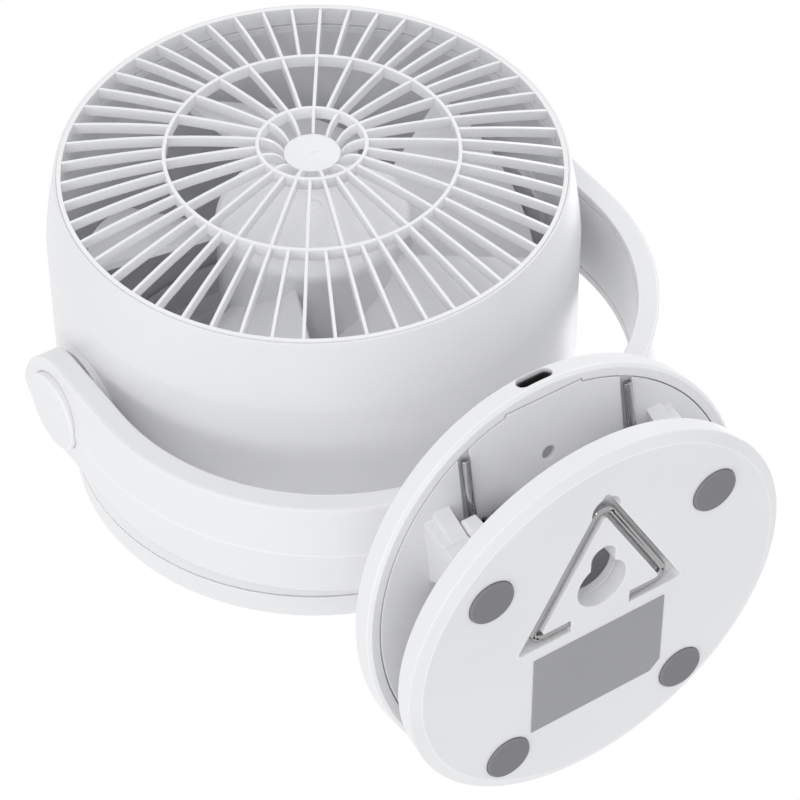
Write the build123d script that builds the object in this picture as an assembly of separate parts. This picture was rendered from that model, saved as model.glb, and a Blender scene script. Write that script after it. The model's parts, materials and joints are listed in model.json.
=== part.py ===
from build123d import *
import math
import os

# Clearances used all over
overrun = 2.0  # how far a cut runs past the face that it opens
seat_gap = 0.1  # between curved faces of two pieces that are fixed together
run_gap = 0.3  # between pieces that move past each other
pin_gap = 0.05  # radial, between a turning pin and its hole
press_gap = 0.01  # radial, between a pressed pin or screw and its hole

# The two radii that the rest follows: of the clip's upper disc and of the fan wheel
upper_radius = 53.6
blade_tip_radius = 56.5

# Lower disc, which stands on the table and is the lower jaw of the clip
disc_step = 0.4  # how much smaller it is than the upper disc
base_draft = 0.6
base_height = 6.5
base_bevel_width = 2.9
base_bevel_height = 1.3
base_floor = 1.6
base_wall = 1.8
base_ledge = 1.5
base_cover_thickness = 2.2

# Rubber feet, with a screw hidden under each
foot_radius = 6.0
foot_stand = 0.7
foot_recess = 0.8
foot_edge = 0.35
front_foot_shares = (0.594, -0.4586)  # places as shares of the lower disc's radius
back_foot_shares = (0.4793, 0.6485)
base_screw_radius = 1.2
base_screw_head_radius = 2.6
base_screw_head_height = 1.4
base_screw_cover_grip = 1.6
base_boss_radius = 4.4

# Wire hook, folded into a triangular groove under the lower disc
hook_wire_radius = 1.05
hook_pivot_share = 0.0301  # places as shares of the lower disc's radius
hook_corner_share = 0.3853
hook_apex_share = 0.7143
hook_corner_bend = 2.6
hook_apex_bend = 3.0
hook_depth = 1.5
hook_groove_width = 4.0
hook_groove_room = 0.7  # above the wire
hook_channel_end_x = 8.4
hook_end_grip = 1.8  # how far the wire's ends run on past the groove
hook_pocket_radius = 4.0
hook_pocket_inset = 1.9
hook_island_edge = 0.7
hook_groove_edge = 1.0
hook_island_margin = 3.0

# Keyhole through the lower disc
keyhole_radius = 7.0
keyhole_share = 0.2124  # place as a share of the lower disc's radius
keyhole_slot_radius = 3.5
keyhole_slot_reach = 8.8

# Blank rating plate under the lower disc, between the hook and the back feet
label_side_gap = 0.6
label_front_gap = 3.8
label_depth = 25.6
label_thickness = 0.25
label_corner = 2.9

# Rubber jaw pads at the back of both discs
pad_edge_gap = 0.9
pad_width = 4.8
pad_half_angle = 68.0
pad_recess = 0.6
lower_pad_stand = 0.5
upper_pad_stand = 0.7

# Hinge of the clip, across the front half of the discs
hinge_share = 0.4793  # place as a share of the lower disc's radius
hinge_upper_share = 0.4194  # place as a share of the upper disc's radius
hinge_pin_radius = 1.6
hinge_pin_setback = 0.2
hinge_pin_bite = 1.6
hinge_barrel_radius = 4.1
inner_lug_width = 2.5
lower_ear_share = 0.453  # place as a share of the lower disc's radius
lower_ear_width = 3.6
lower_ear_half = 8.0
lower_ear_headroom = 2.6
lower_ear_edge = 1.0
upper_ear_width = 4.4
upper_ear_half = 10.0
upper_ear_radius = 5.6
upper_ear_step_width = 2.5
upper_ear_step_half = 8.6

# Torsion springs on the hinge
spring_wire_radius = 1.05
spring_barrel_gap = 0.35
spring_coil_gap = 0.73
spring_side_gap = 0.25
spring_lug_gap = 0.45
spring_whole_turns = 3
spring_arcs_per_turn = 4
spring_edge_gap = 0.6  # from the end of the upper leg to the edge of the panel
spring_lower_leg_share = 0.7115  # of the room in front of the hinge
spring_upper_rise = 2.0  # degrees, from the panel towards its slot
spring_lower_drop = 1.5  # degrees, towards the lower disc
spring_headroom = 1.21  # from the coil's wire line to the panel
spring_floor_gap = 0.38
spring_slot_width = 3.2
spring_slot_gap = 0.56
spring_slot_wall = 1.7
spring_slot_side = 1.2
spring_slot_start = 2.0

# Upper disc, tipped up at the front, which carries the yoke and the electronics
jaw_gap = 0.8
upper_edge = 0.8
upper_wall_height = 5.6
upper_rim_width = 3.4
upper_shoulder_width = 9.6
upper_wall = 2.0
upper_top_wall = 1.8
upper_shoulder_bulge = 0.6
panel_gap = 0.3
panel_thickness = 1.6
panel_tab_half = 10.6
panel_tab_inset = 0.4
panel_ledge = 1.4
panel_ledge_height = 1.6
panel_hole_radius = 1.8
panel_hole_inset = 16.2
panel_side_screw_shares = (0.767, 0.159)  # places as shares of the panel's radius
panel_back_screw_shares = (0.3378, 0.9412)  # places as shares of the circle inside the jaw pad
panel_screw_pad_gap = 0.66
panel_screw_radius = 1.1
panel_screw_head_radius = 2.4
panel_screw_head_height = 1.0
panel_screw_length = 6.4
panel_boss_radius = 3.0

# Charging socket, board, switch, button and cell in the upper disc
usb_recess_width = 9.6
usb_recess_height = 3.8
usb_width = 8.9
usb_height = 3.2
usb_length = 7.3
usb_setback = 1.0
usb_shell = 0.35
usb_tongue_width = 6.6
usb_tongue_thickness = 0.7
usb_tongue_length = 4.6
board_setback = 6.8
board_thickness = 1.2
board_half_width = 19.0
board_cell_gap = 5.0
board_post_inset_x = 4.0
board_post_inset_y = 5.5
board_post_radius = 2.4
board_peg_radius = 1.0
board_peg_stand = 0.6
switch_size = 6.0
switch_height = 1.4
switch_plunger_radius = 1.6
switch_plunger_height = 0.4
button_inset = 11.0
button_radius = 6.0
button_flange = 1.0
button_flange_height = 1.1
button_stand = 0.8
button_travel = 0.8
button_edge = 0.5
button_play = 0.15
battery_width = 42.0
battery_length = 32.0
battery_height = 6.8
battery_gap = 0.4
battery_corner = 3.0

# Yoke from the upper disc round the drum to both pivots
pivot_y = -8.2
yoke_clearance = 0.58  # between the yoke and the head as it turns over
yoke_flat_half = 9.9
yoke_web = 1.4
yoke_width = 28.0
yoke_taper = 7.0  # degrees, of the outer face away from its middle crease
yoke_cover_thickness = 1.5
yoke_cover_gap = 0.25
yoke_rim = 2.4
yoke_lift = 4.13
neck_half_x = 20.0
neck_half_y = 10.0
neck_bite = 3.4
neck_screw_x = 11.0
neck_screw_radius = 1.5
neck_screw_head_radius = 2.6
neck_screw_head_height = 1.8
neck_screw_reach = 5.0

# Pivots between yoke and drum
pivot_cap_radius = 10.2
pivot_cap_thickness = 2.0
pivot_cap_recess = 1.3
pivot_cap_edge = 0.3
pivot_bolt_radius = 3.0
pivot_bolt_head_radius = 5.6
pivot_bolt_head_height = 2.6
pivot_washer_radius = 10.5
pivot_washer_thickness = 1.2
pivot_boss_radius = 12.5
pivot_boss_stand = 1.4
pivot_boss_depth = 5.0
pivot_nut_radius = 5.0
pivot_nut_height = 2.7
pivot_bolt_tail = 0.6

# Drum, as radii and as depths behind the rim plane
pivot_setback = 41.8
blade_tip_gap = 7.8
drum_wall = 2.2
drum_swell = 3.7
drum_widest = 18.0
drum_straight = 34.0
drum_depth = 85.5
drum_back_draw = 2.5
drum_crease = 5.0  # degrees, where the rim's curve starts
rim_lip = 0.6
rim_rise = 0.8
grille_seat_depth = 4.4
grille_seat_thickness = 2.0

# Front grille
dome_rise = 8.4
dome_edge_rise = 0.9
rib_thickness = 0.8
rib_depth = 2.8
rib_bite = 0.4  # how far a rib runs into the ring that holds it
hub_rib_count = 13
inner_rib_count = 26
outer_rib_count = 52
grille_ring_width = 0.9
grille_ring_stand = 0.15  # how far the rings stand past their ribs
grille_hub_share = 0.2202  # radii of the rings as shares of the rim's radius
grille_middle_share = 0.5844
grille_rim_gap = 0.05
grille_rim_width = 1.1
grille_seam_depth = 0.5
grille_seam_height = 0.45
grille_cap_radius = 7.0
grille_cap_height = 5.5
grille_cap_thickness = 2.4
grille_cap_bulge = 0.5
hub_rib_drop = 1.5
hub_rib_bulge = 1.5

# Rear cover of the drum
cover_seam = 0.5
cover_depth = 10.5
cover_bend = 5.0
cover_wall = 2.0
cover_spigot_depth = 4.0
cover_spigot_wall = 1.6
vent_count = 48
vent_inner_gap = 5.5
vent_outer_gap = 2.9
vent_width = 1.9
cover_screw_inset = 13.5
cover_screw_count = 4
cover_screw_first_angle = 45.0
cover_screw_radius = 1.4
cover_screw_head_radius = 2.6
cover_screw_head_height = 1.6
cover_screw_grip = 9.0
cover_post_radius = 3.2
cover_post_length = 14.0
cover_post_web = 2.4

# Motor on its stand inside the drum
motor_radius = 15.0
motor_length = 30.0
motor_front = 32.0
motor_wall = 1.2
motor_end_wall = 2.0
magnet_thickness = 2.2
magnet_length = 18.0
rotor_air_gap = 0.9
rotor_length = 16.0
shaft_radius = 1.5
shaft_front_reach = 15.0
bearing_radius = 4.0
bearing_length = 3.0
stand_step = 3.0  # how much smaller the stand's tube is than the motor
stand_wall = 2.0
stand_flange_margin = 0.4
stand_flange_thickness = 2.2
stand_screw_gap = 0.5
stand_screw_count = 4
stand_screw_radius = 1.2
stand_screw_head_radius = 2.3
stand_screw_head_height = 1.4
motor_screw_gap = 0.3
motor_screw_count = 2
motor_screw_grip = 1.6

# Impeller
blade_count = 5
hub_radius = 24.5
hub_front = 12.0
hub_crown = 1.2
hub_round = 2.6
hub_round_depth = 2.8
hub_length = 28.0
hub_wall = 2.0
hub_boss_radius = 4.5
hub_mark_radius = 2.0
hub_mark_depth = 0.25
blade_thickness = 1.7
blade_middle = 27.0
blade_root_chord = 25.0
blade_tip_chord = 58.0
blade_root_pitch = 40.0  # degrees
blade_tip_pitch = 23.0
blade_sweep = 12.0  # degrees, of the tip ahead of the root
impeller_turn = -13.0  # degrees
blade_root_bite = 2.6

# Radii and places on the lower disc
base_radius = upper_radius - disc_step
base_top_radius = base_radius - base_draft
base_bottom = foot_stand
base_top = base_bottom + base_height
cover_underside = base_top - base_cover_thickness
cover_pocket_radius = base_top_radius - base_wall
foot_places = [
    (side * base_radius * x_share, base_radius * y_share)
    for x_share, y_share in (front_foot_shares, back_foot_shares)
    for side in (-1, 1)
]
back_foot_x = base_radius * back_foot_shares[0]
hook_pivot_y = -base_radius * hook_pivot_share
hook_corner_x = base_radius * hook_corner_share
hook_apex_y = -base_radius * hook_apex_share
hook_end_x = hook_channel_end_x - hook_end_grip
hook_groove_depth = hook_depth + hook_wire_radius + hook_groove_room
hook_z = base_bottom + hook_depth
keyhole_y = -base_radius * keyhole_share
label_half_width = back_foot_x - foot_radius - label_side_gap
label_front = hook_pivot_y + hook_groove_width / 2 + label_front_gap

# Hinge line and the tilt of the upper disc, which the springs' room sets
spring_coil_radius = hinge_barrel_radius + spring_barrel_gap + spring_wire_radius
hinge_y = -base_radius * hinge_share
spring_lower_leg = spring_lower_leg_share * (cover_pocket_radius + hinge_y)
spring_lower_fall = spring_lower_leg * math.sin(math.radians(spring_lower_drop))
hinge_rise = spring_coil_radius + spring_wire_radius + spring_floor_gap + spring_lower_fall
hinge_z = base_top + hinge_rise
hinge_drop = spring_coil_radius + spring_headroom
hinge_local_y = -upper_radius * hinge_upper_share
hinge_local_z = -hinge_drop
jaw_run = upper_radius - hinge_local_y
tilt = math.atan2(hinge_drop, jaw_run) + math.asin((hinge_rise - jaw_gap) / math.hypot(jaw_run, hinge_drop))
clip_tilt = math.degrees(tilt)
upper_y = hinge_y - hinge_local_y * math.cos(tilt) + hinge_drop * math.sin(tilt)
upper_z = hinge_z + hinge_local_y * math.sin(tilt) + hinge_drop * math.cos(tilt)
lower_ear_x = base_radius * lower_ear_share
lower_ear_rise = hinge_drop - lower_ear_headroom
upper_ear_x = lower_ear_x + lower_ear_width + run_gap

# Radii and places on the upper disc
upper_top_radius = upper_radius - upper_shoulder_width
panel_radius = upper_radius - upper_rim_width
panel_tab_y = panel_radius - panel_tab_inset
panel_hole_y = panel_hole_inset - panel_radius
pad_outer_radius = panel_radius - pad_edge_gap
pad_inner_radius = pad_outer_radius - pad_width
panel_back_circle = pad_inner_radius - panel_screw_head_radius - panel_screw_pad_gap
panel_screw_places = [
    (side * circle * x_share, circle * y_share)
    for circle, (x_share, y_share) in (
        (panel_radius, panel_side_screw_shares),
        (panel_back_circle, panel_back_screw_shares),
    )
    for side in (-1, 1)
]
usb_z = panel_thickness + usb_recess_height / 2
board_z = usb_z + usb_height / 2
board_top = board_z + board_thickness
board_radius = upper_radius - board_setback
switch_top = board_top + switch_height + switch_plunger_height
flange_low = switch_top + button_travel + seat_gap
flange_high = flange_low + button_flange_height
upper_inside = flange_high + seat_gap
upper_height = upper_inside + upper_top_wall
button_y = button_inset - upper_top_radius
neck_y = pivot_y - upper_y
battery_front_y = neck_y + neck_screw_head_radius + battery_gap
board_back_y = battery_front_y - board_cell_gap
board_post_x = board_half_width - board_post_inset_x
board_post_y = board_back_y - board_post_inset_y

# Springs between the ears, from the outer one inwards
spring_outer_x = lower_ear_x - spring_side_gap - spring_wire_radius
spring_first_angle = math.radians(spring_lower_drop - 90)
spring_last_angle = math.radians(90 - clip_tilt - spring_upper_rise) + 2 * math.pi * spring_whole_turns
spring_turns = (spring_last_angle - spring_first_angle) / (2 * math.pi)
spring_inner_x = spring_outer_x - spring_turns * (2 * spring_wire_radius + spring_coil_gap)
inner_lug_x = spring_inner_x - spring_wire_radius - spring_lug_gap - inner_lug_width
hinge_pin_inner_x = inner_lug_x + hinge_pin_setback
hinge_pin_outer_x = upper_ear_x + upper_ear_width + hinge_pin_bite
leg_rise = math.radians(spring_upper_rise)
leg_reach = math.sqrt((panel_radius - spring_edge_gap) ** 2 - (spring_outer_x + spring_wire_radius) ** 2)
leg_start_y = hinge_local_y + spring_coil_radius * math.sin(leg_rise)
spring_upper_leg = (leg_reach + leg_start_y) / math.cos(leg_rise)
leg_end_z = spring_coil_radius * math.cos(leg_rise) + spring_upper_leg * math.sin(leg_rise) - hinge_drop
spring_slot_depth = leg_end_z + spring_wire_radius + spring_slot_gap

# Radii and places on the head
drum_radius = blade_tip_radius + blade_tip_gap + drum_wall
drum_back_radius = drum_radius - drum_back_draw
drum_taper = drum_widest + drum_straight
rim_radius = drum_radius - drum_swell
grille_rim_outer = rim_radius - grille_rim_gap
grille_rim_inner = grille_rim_outer - grille_rim_width
grille_hub_radius = rim_radius * grille_hub_share
grille_middle_radius = rim_radius * grille_middle_share
dome_sag = dome_rise - dome_edge_rise
dome_radius = (grille_rim_inner**2 + dome_sag**2) / (2 * dome_sag)
cover_back = drum_depth + cover_depth
cover_screw_circle = drum_back_radius - cover_screw_inset
motor_back = motor_front + motor_length
stand_radius = motor_radius - stand_step
stand_screw_circle = stand_radius + stand_screw_gap + stand_screw_head_radius
stand_flange_radius = stand_screw_circle + stand_screw_head_radius + stand_flange_margin
motor_screw_circle = stand_radius - stand_wall - stand_screw_head_radius - motor_screw_gap
rotor_radius = motor_radius - motor_wall - seat_gap - magnet_thickness - rotor_air_gap
vent_inner_radius = stand_flange_radius + vent_inner_gap
vent_outer_radius = cover_screw_circle - cover_screw_head_radius - vent_outer_gap

# Places across the pivots, from the drum outwards, and the yoke round the turning head
pivot_boss_inner_x = drum_radius - pivot_boss_depth
nut_outer_x = pivot_boss_inner_x - run_gap
boss_outer_x = drum_radius + pivot_boss_stand
washer_inner_x = boss_outer_x + run_gap
arm_inner_x = washer_inner_x + pivot_washer_thickness
pivot_stack = pivot_cap_recess + pivot_bolt_head_height + seat_gap
yoke_thickness = pivot_stack + yoke_web + seat_gap + yoke_cover_thickness
yoke_half_span = arm_inner_x + yoke_thickness
cap_seat_x = yoke_half_span - pivot_cap_recess
yoke_bend = yoke_half_span - yoke_flat_half
back_arm = cover_back - cover_bend - pivot_setback
back_sweep = math.hypot(drum_back_radius - cover_bend, back_arm) + cover_bend
front_sweep = math.hypot(rim_radius + rim_lip, pivot_setback + rim_rise)
yoke_depth = max(back_sweep, front_sweep) + yoke_clearance + yoke_thickness
neck_base_z = upper_z - neck_y * math.sin(tilt) + upper_height * math.cos(tilt)
neck_height = yoke_lift + neck_bite
pivot_z = neck_base_z + yoke_lift + yoke_depth

# Frames of the tipped upper disc and of the drum, whose own Z is its air flow
upper_frame = Pos(0, upper_y, upper_z) * Rot(-clip_tilt, 0, 0)
head_frame = Pos(0, pivot_y - pivot_setback, pivot_z) * Rot(90, 0, 0)


# Shapes that many pieces use


def post(radius, low, high, x=0, y=0):
    upright = (Align.CENTER, Align.CENTER, Align.MIN)
    return Pos(x, y, low) * Cylinder(radius, high - low, align=upright)


def rod(radius, start, end, y=0, z=0):
    upright = (Align.CENTER, Align.CENTER, Align.MIN)
    return Pos(start, y, z) * Rot(0, 90, 0) * Cylinder(radius, end - start, align=upright)


def block(x_low, x_high, y_low, y_high, z_low, z_high):
    corner = (Align.MIN, Align.MIN, Align.MIN)
    return Pos(x_low, y_low, z_low) * Box(x_high - x_low, y_high - y_low, z_high - z_low, align=corner)


def plate(sketch, low, high):
    return Pos(0, 0, low) * extrude(sketch, amount=high - low)


def on_section(points):
    return [(radius, 0, height) for radius, height in points]


def lathe(points):
    return revolve(make_face(Polyline(*on_section(points), close=True)), Axis.Z)


def lathe_edges(edges):
    return revolve(make_face(edges), Axis.Z)


def around(count, first_angle=0.0):
    return [Rot(0, 0, first_angle + 360 * step / count) for step in range(count)]


def other_side(shape):
    return mirror(shape, about=Plane.YZ)


def screw(radius, length, head_radius, head_height):
    """A screw along Z with its head below zero and its shank above."""
    return post(radius, 0, length) + post(head_radius, -head_height, 0)


def upside_down(shape):
    return Rot(180, 0, 0) * shape


# Lower disc


def bar_between(start, end, width):
    """A flat round-ended bar from one point to another."""
    run = Vector(*end) - Vector(*start)
    middle = (Vector(*end) + Vector(*start)) * 0.5
    angle = math.degrees(math.atan2(run.Y, run.X))
    return Pos(middle.X, middle.Y) * Rot(0, 0, angle) * SlotCenterToCenter(run.length, width)


def hook_corners():
    return (-hook_corner_x, hook_pivot_y), (0, hook_apex_y), (hook_corner_x, hook_pivot_y)


def hook_triangle(extra):
    """The triangle of the hook's wire line, drawn larger or smaller with sharp corners."""
    return offset(make_face(Polyline(*hook_corners(), close=True)), extra, kind=Kind.INTERSECTION)


def hook_groove():
    half = hook_groove_width / 2
    island = hook_triangle(-half)
    groove = fillet(hook_triangle(half).vertices(), hook_groove_edge)
    groove -= fillet(island.vertices(), hook_island_edge)
    groove -= Pos(0, hook_pivot_y) * Rectangle(2 * hook_channel_end_x, 2 * hook_groove_width)
    groove += Pos(0, hook_apex_y + hook_pocket_inset) * Circle(hook_pocket_radius) - island
    return plate(groove, base_bottom - overrun, base_bottom + hook_groove_depth)


def hook_island():
    """The solid middle of the lower disc, round the groove and the keyhole."""
    return hook_triangle(hook_groove_width / 2 + hook_island_margin)


def keyhole():
    slot_y = keyhole_y - keyhole_slot_reach
    outline = Pos(0, keyhole_y) * Circle(keyhole_radius)
    outline += bar_between((0, keyhole_y), (0, slot_y), 2 * keyhole_slot_radius)
    return plate(outline, base_bottom - overrun, base_top + overrun)


def base_shell():
    wall_low = base_bottom + base_bevel_height
    shell = lathe(
        [
            (0, base_bottom),
            (base_radius - base_bevel_width, base_bottom),
            (base_radius, wall_low),
            (base_top_radius, base_top),
            (0, base_top),
        ]
    )
    cavity = post(cover_pocket_radius - base_ledge, base_bottom + base_floor, cover_underside)
    cavity -= plate(hook_island(), base_bottom, base_top)
    head_seat = base_bottom + foot_recess + base_screw_head_height
    for x, y in foot_places:
        cavity -= post(base_boss_radius, base_bottom, base_top, x, y)
    shell -= cavity
    shell -= post(cover_pocket_radius, cover_underside, base_top + overrun)
    for x, y in foot_places:
        shell -= post(foot_radius + seat_gap, base_bottom - overrun, base_bottom + foot_recess, x, y)
        shell -= post(base_screw_head_radius + seat_gap, base_bottom, head_seat, x, y)
        shell -= post(base_screw_radius + seat_gap, base_bottom, base_top, x, y)
    shell -= [hook_groove(), keyhole()]
    hole = rod(hook_wire_radius + pin_gap, hook_end_x - seat_gap, hook_corner_x, hook_pivot_y, hook_z)
    return shell - [hole, other_side(hole)]


def lower_ear(start, width):
    foot = base_top - hinge_z - base_cover_thickness / 2
    half = lower_ear_half
    corners = [(-half, foot), (half, foot), (half, lower_ear_rise), (-half, lower_ear_rise)]
    outline = make_face(Polyline(*corners, close=True))
    outline = fillet(outline.vertices().sort_by(Axis.Y)[-2:], lower_ear_edge)
    return Pos(start, hinge_y, hinge_z) * extrude(Plane.YZ * outline, amount=width)


def jaw_pad(low, high, extra=0.0):
    """A curved strip along the back edge of a disc."""
    half = pad_half_angle + math.degrees(extra / pad_inner_radius)
    inner = pad_inner_radius - extra
    outer = pad_outer_radius + extra
    corners = on_section([(inner, low), (outer, low), (outer, high), (inner, high)])
    section = make_face(Polyline(*corners, close=True))
    return Rot(0, 0, 90 - half) * revolve(section, Axis.Z, revolution_arc=2 * half)


def base_cover():
    cover = post(cover_pocket_radius - seat_gap, cover_underside, base_top)
    side = lower_ear(lower_ear_x, lower_ear_width) + lower_ear(inner_lug_x, inner_lug_width)
    side += rod(hinge_barrel_radius, inner_lug_x, lower_ear_x + lower_ear_width, hinge_y, hinge_z)
    cover += [side, other_side(side)]
    hole_end = lower_ear_x + lower_ear_width + overrun
    hole = rod(hinge_pin_radius + pin_gap, inner_lug_x - overrun, hole_end, hinge_y, hinge_z)
    cover -= [keyhole(), hole, other_side(hole)]
    cover -= jaw_pad(base_top - pad_recess, base_top + overrun, seat_gap)
    hole_top = cover_underside + base_screw_cover_grip
    for x, y in foot_places:
        cover -= post(base_screw_radius + press_gap, base_bottom, hole_top, x, y)
    return cover


def rubber_feet():
    foot = post(foot_radius, 0, foot_stand + foot_recess)
    foot = fillet(foot.edges().sort_by(Axis.Z)[0], foot_edge)
    return [Pos(x, y, 0) * foot for x, y in foot_places]


def base_screws():
    head_top = base_bottom + foot_recess + base_screw_head_height
    length = cover_underside + base_screw_cover_grip - seat_gap - head_top
    one = screw(base_screw_radius, length, base_screw_head_radius, base_screw_head_height)
    return [Pos(x, y, head_top) * one for x, y in foot_places]


def label_plate():
    half = label_half_width
    front = label_front
    back = label_front + label_depth
    cut_corner = [(half, back - label_corner), (half - label_corner, back)]
    corners = [(-half, front), (half, front), *cut_corner, (-half, back)]
    return plate(make_face(Polyline(*corners, close=True)), base_bottom - label_thickness, base_bottom)


def hook_wire():
    left, apex, right = hook_corners()
    route = [(-hook_end_x, hook_pivot_y), left, apex, right, (hook_end_x, hook_pivot_y)]
    points = [(x, y, hook_z) for x, y in route]
    path = FilletPolyline(*points, radius=[hook_corner_bend, hook_apex_bend, hook_corner_bend])
    return sweep(Plane(path @ 0, z_dir=path % 0) * Circle(hook_wire_radius), path=path)


# Upper disc, in its own frame with zero at the middle of its lower rim


def panel_outline(extra=0.0):
    """A disc with a shallow straight-edged tab at the front."""
    tab_y = panel_tab_y + extra
    outline = Circle(panel_radius + extra)
    outline += Pos(0, -tab_y / 2) * Rectangle(2 * (panel_tab_half + extra), tab_y)
    reach = 2 * panel_radius + overrun
    return outline & Pos(0, reach - tab_y) * Rectangle(2 * reach, 2 * reach)


def usb_slot(width, height, y_low, y_high):
    face = Plane.XZ * SlotOverall(width, height)
    return Pos(0, y_high, usb_z) * extrude(face, amount=y_high - y_low)


def upper_shell():
    shoulder = ((upper_radius + upper_top_radius) / 2, (upper_wall_height + upper_height) / 2)
    corners = on_section(
        [
            (0, 0),
            (upper_radius - upper_edge, 0),
            (upper_radius, upper_edge),
            (upper_radius, upper_wall_height),
            (shoulder[0] + upper_shoulder_bulge, shoulder[1] + upper_shoulder_bulge),
            (upper_top_radius, upper_height),
            (0, upper_height),
        ]
    )
    rim = Polyline(*corners[:4])
    bulge = ThreePointArc(corners[3], corners[4], corners[5])
    shell = lathe_edges([rim, bulge, Polyline(corners[5], corners[6], corners[0])])
    ledge_top = panel_thickness + panel_ledge_height
    cavity = lathe(
        [
            (0, panel_thickness),
            (panel_radius - panel_ledge, panel_thickness),
            (panel_radius - panel_ledge, ledge_top),
            (upper_radius - upper_wall, ledge_top),
            (upper_radius - upper_wall, upper_wall_height - upper_edge),
            (upper_top_radius - upper_wall, upper_inside),
            (0, upper_inside),
        ]
    )
    for x, y in panel_screw_places:
        cavity -= post(panel_boss_radius, 0, upper_height, x, y)
    shell -= cavity
    shell -= plate(panel_outline(panel_gap), -overrun, panel_thickness)
    for x, y in panel_screw_places:
        shell -= post(panel_screw_radius + press_gap, 0, panel_screw_length + panel_screw_head_height, x, y)
    shell -= usb_slot(usb_recess_width, usb_recess_height, -upper_radius - overrun, -board_radius + overrun)
    low = upper_inside - overrun
    high = upper_height + overrun
    shell -= post(button_radius + button_play, low, high, 0, button_y)
    for x in (-neck_screw_x, neck_screw_x):
        shell -= post(neck_screw_radius + seat_gap, low, high, x, neck_y)
    return shell


def upper_ear(start, width, half):
    panel_z = panel_thickness / 2 - hinge_local_z
    front_z = -hinge_local_z
    points = [
        (-half, panel_z),
        (-half, front_z),
        (-upper_ear_radius, 0),
        (upper_ear_radius, 0),
        (half, front_z),
        (half, panel_z),
    ]
    outline = make_face(Polyline(*points, close=True)) + Circle(upper_ear_radius)
    return Pos(start, hinge_local_y, hinge_local_z) * extrude(Plane.YZ * outline, amount=width)


def spring_slot(x):
    start_y = hinge_local_y - spring_slot_start
    outline = bar_between((x, start_y), (x, -panel_radius), spring_slot_width)
    return plate(outline, -overrun, spring_slot_depth)


def clip_panel():
    panel = plate(panel_outline(), 0, panel_thickness)
    step_x = upper_ear_x + upper_ear_width
    side = upper_ear(upper_ear_x, upper_ear_width, upper_ear_half)
    side += upper_ear(step_x, upper_ear_step_width, upper_ear_step_half)
    backing_top = spring_slot_depth + spring_slot_wall
    backing_half = spring_slot_width / 2 + spring_slot_side
    backing_low = spring_outer_x - backing_half
    backing_high = spring_outer_x + backing_half
    middle = panel_thickness / 2
    peg_top = board_top + board_peg_stand
    backing = block(backing_low, backing_high, -panel_radius, hinge_local_y, middle, backing_top)
    side += backing & post(panel_radius - panel_ledge - run_gap, 0, backing_top)
    side += post(board_post_radius, middle, board_z, board_post_x, board_post_y)
    side += post(board_peg_radius, middle, peg_top, board_post_x, board_post_y)
    panel += [side, other_side(side)]
    hole_end = hinge_pin_outer_x + seat_gap
    hole = rod(hinge_pin_radius + press_gap, upper_ear_x - overrun, hole_end, hinge_local_y, hinge_local_z)
    panel -= [hole, other_side(hole), spring_slot(spring_outer_x), spring_slot(-spring_outer_x)]
    panel -= post(panel_hole_radius, -overrun, panel_thickness + overrun, 0, panel_hole_y)
    panel -= jaw_pad(-overrun, pad_recess, seat_gap)
    for x, y in panel_screw_places:
        panel -= post(panel_screw_head_radius + seat_gap, -overrun, panel_screw_head_height, x, y)
        panel -= post(panel_screw_radius + seat_gap, -overrun, panel_thickness + overrun, x, y)
    return panel


def panel_screws():
    length = panel_screw_length - seat_gap
    one = screw(panel_screw_radius, length, panel_screw_head_radius, panel_screw_head_height)
    return [Pos(x, y, panel_screw_head_height) * one for x, y in panel_screw_places]


def usb_socket():
    front = -upper_radius + usb_setback
    back = front + usb_length
    socket = usb_slot(usb_width, usb_height, front, back)
    inside_width = usb_width - 2 * usb_shell
    inside_height = usb_height - 2 * usb_shell
    tongue_back = back - usb_shell
    socket -= usb_slot(inside_width, inside_height, front - overrun, tongue_back)
    half_width = usb_tongue_width / 2
    half_height = usb_tongue_thickness / 2
    tongue_front = tongue_back - usb_tongue_length
    low = usb_z - half_height
    high = usb_z + half_height
    return socket + block(-half_width, half_width, tongue_front, back, low, high)


def circuit_board():
    outline = Circle(board_radius)
    length = board_radius + board_back_y
    outline &= Pos(0, board_back_y - length / 2) * Rectangle(2 * board_half_width, length)
    board = plate(outline, board_z, board_top)
    for x in (-board_post_x, board_post_x):
        board -= post(board_peg_radius + pin_gap, 0, upper_height, x, board_post_y)
    return board


def button_switch():
    half = switch_size / 2
    body = block(-half, half, button_y - half, button_y + half, board_top, board_top + switch_height)
    return body + post(switch_plunger_radius, board_top, switch_top, 0, button_y)


def speed_button():
    cap = post(button_radius, flange_low, upper_height + button_stand, 0, button_y)
    cap = fillet(cap.edges().sort_by(Axis.Z)[-1], button_edge)
    return cap + post(button_radius + button_flange, flange_low, flange_high, 0, button_y)


def battery_pack():
    low = panel_thickness + seat_gap
    battery_y = battery_front_y + battery_length / 2
    outline = Pos(0, battery_y) * RectangleRounded(battery_width, battery_length, battery_corner)
    return plate(outline, low, low + battery_height)


# Hinge pins and torsion springs, placed by the hinge's own line


def hinge_pin():
    return rod(hinge_pin_radius, hinge_pin_inner_x, hinge_pin_outer_x, hinge_y, hinge_z)


def biarc(start, start_way, end, end_way):
    """Two arcs that leave one point and reach another along the given ways."""
    span = end - start
    ways = start_way + end_way
    spread = 2 * (1 - start_way.dot(end_way))
    along = span.dot(ways)
    reach = (math.sqrt(along**2 + spread * span.dot(span)) - along) / spread
    first = start + start_way * reach
    last = end - end_way * reach
    middle = (first + last) * 0.5
    return [TangentArc(start, middle, tangent=start_way), TangentArc(middle, end, tangent=last - first)]


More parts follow.
